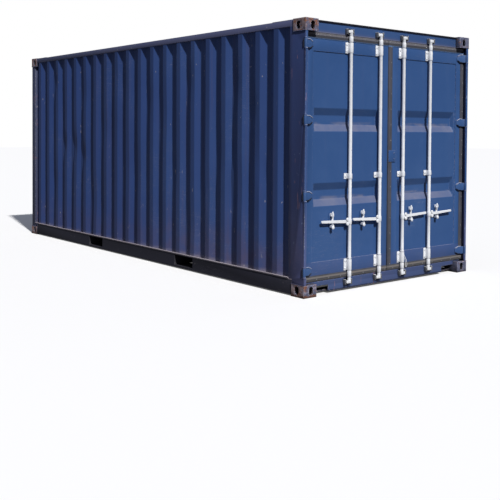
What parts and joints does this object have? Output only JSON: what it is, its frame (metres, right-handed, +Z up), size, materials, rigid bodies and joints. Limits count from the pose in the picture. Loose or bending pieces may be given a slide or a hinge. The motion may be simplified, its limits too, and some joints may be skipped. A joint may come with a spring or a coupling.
{
  "type": "20 ft shipping container with two doors at one end",
  "caption": "Steel freight container with corrugated walls, hollow corner castings, two end doors on hinges, four turning lock rods with handles, and a wooden floor.",
  "frame": {"origin": "centre of the footprint, on the plane of the bottom corner fittings", "axes": "+X along the length towards the doors, +Y across towards the right side as seen facing the doors, +Z up"},
  "size_m": [6.058, 2.438, 2.591],
  "materials": {
    "blue_paint": "matte",
    "underframe_paint": "matte",
    "fitting_paint": "matte",
    "pale_paint": "satin",
    "door_rubber": "matte",
    "floor_plywood": "matte"
  },
  "bodies": {
    "container": {"bottom_corner_fittings": "fitting_paint", "top_corner_fittings": "fitting_paint", "left_rear_post": "blue_paint", "right_rear_post": "blue_paint", "left_hinge_pins": "blue_paint", "right_hinge_pins": "blue_paint", "left_front_post": "blue_paint", "right_front_post": "blue_paint", "left_top_side_rail": "blue_paint", "right_top_side_rail": "blue_paint", "left_bottom_side_rail": "underframe_paint", "right_bottom_side_rail": "underframe_paint", "front_top_rail": "blue_paint", "front_bottom_rail": "underframe_paint", "left_side_wall": "blue_paint", "right_side_wall": "blue_paint", "front_wall": "blue_paint", "roof": "blue_paint", "roof_corner_plates": "blue_paint", "plywood_floor": "floor_plywood", "floor_cross_members": "underframe_paint", "fork_pockets": "underframe_paint", "door_header": "blue_paint", "header_door_stop": "blue_paint", "door_sill": "blue_paint", "header_cam_keepers": "pale_paint", "sill_cam_keepers": "pale_paint"},
    "left_door": {"left_door_frame": "blue_paint", "left_door_panel": "blue_paint", "left_door_gasket": "door_rubber", "left_door_hinges": "blue_paint", "left_rod_brackets": "pale_paint", "left_handle_catches": "pale_paint"},
    "left_outer_rod": {"left_outer_lock_rod": "pale_paint"},
    "left_outer_handle": {"left_outer_handle": "pale_paint"},
    "left_inner_rod": {"left_inner_lock_rod": "pale_paint"},
    "left_inner_handle": {"left_inner_handle": "pale_paint"},
    "right_door": {"right_door_frame": "blue_paint", "right_door_panel": "blue_paint", "right_door_gasket": "door_rubber", "right_door_hinges": "blue_paint", "right_rod_brackets": "pale_paint", "right_handle_catches": "pale_paint", "centre_overlap_plate": "blue_paint"},
    "right_outer_rod": {"right_outer_lock_rod": "pale_paint"},
    "right_outer_handle": {"right_outer_handle": "pale_paint"},
    "right_inner_rod": {"right_inner_lock_rod": "pale_paint"},
    "right_inner_handle": {"right_inner_handle": "pale_paint"}
  },
  "joints": [
    {"name": "left_door_hinge", "type": "hinge", "parent": "container", "child": "left_door", "pos_m": [3.013, -1.203, 1.2985], "axis": [0, 0, -1], "range_deg": [0, 265]},
    {"name": "left_outer_rod_turn", "type": "hinge", "parent": "left_door", "child": "left_outer_rod", "pos_m": [2.996, -0.597, 1.2985], "axis": [0, 0, -1], "range_deg": [-100, 0]},
    {"name": "left_outer_handle_lift", "type": "hinge", "parent": "left_outer_rod", "child": "left_outer_handle", "pos_m": [2.996, -0.635, 0.675], "axis": [-1, 0, 0], "range_deg": [0, 8]},
    {"name": "left_inner_rod_turn", "type": "hinge", "parent": "left_door", "child": "left_inner_rod", "pos_m": [2.996, -0.174, 1.2985], "axis": [0, 0, -1], "range_deg": [-100, 0]},
    {"name": "left_inner_handle_lift", "type": "hinge", "parent": "left_inner_rod", "child": "left_inner_handle", "pos_m": [2.996, -0.212, 0.675], "axis": [-1, 0, 0], "range_deg": [0, 8]},
    {"name": "right_door_hinge", "type": "hinge", "parent": "container", "child": "right_door", "pos_m": [3.013, 1.203, 1.2985], "axis": [0, 0, 1], "range_deg": [0, 265]},
    {"name": "right_outer_rod_turn", "type": "hinge", "parent": "right_door", "child": "right_outer_rod", "pos_m": [2.996, 0.597, 1.2985], "axis": [0, 0, 1], "range_deg": [-100, 0]},
    {"name": "right_outer_handle_lift", "type": "hinge", "parent": "right_outer_rod", "child": "right_outer_handle", "pos_m": [2.996, 0.635, 0.675], "axis": [1, 0, 0], "range_deg": [0, 8]},
    {"name": "right_inner_rod_turn", "type": "hinge", "parent": "right_door", "child": "right_inner_rod", "pos_m": [2.996, 0.174, 1.2985], "axis": [0, 0, 1], "range_deg": [-100, 0]},
    {"name": "right_inner_handle_lift", "type": "hinge", "parent": "right_inner_rod", "child": "right_inner_handle", "pos_m": [2.996, 0.212, 0.675], "axis": [1, 0, 0], "range_deg": [0, 8]}
  ]
}
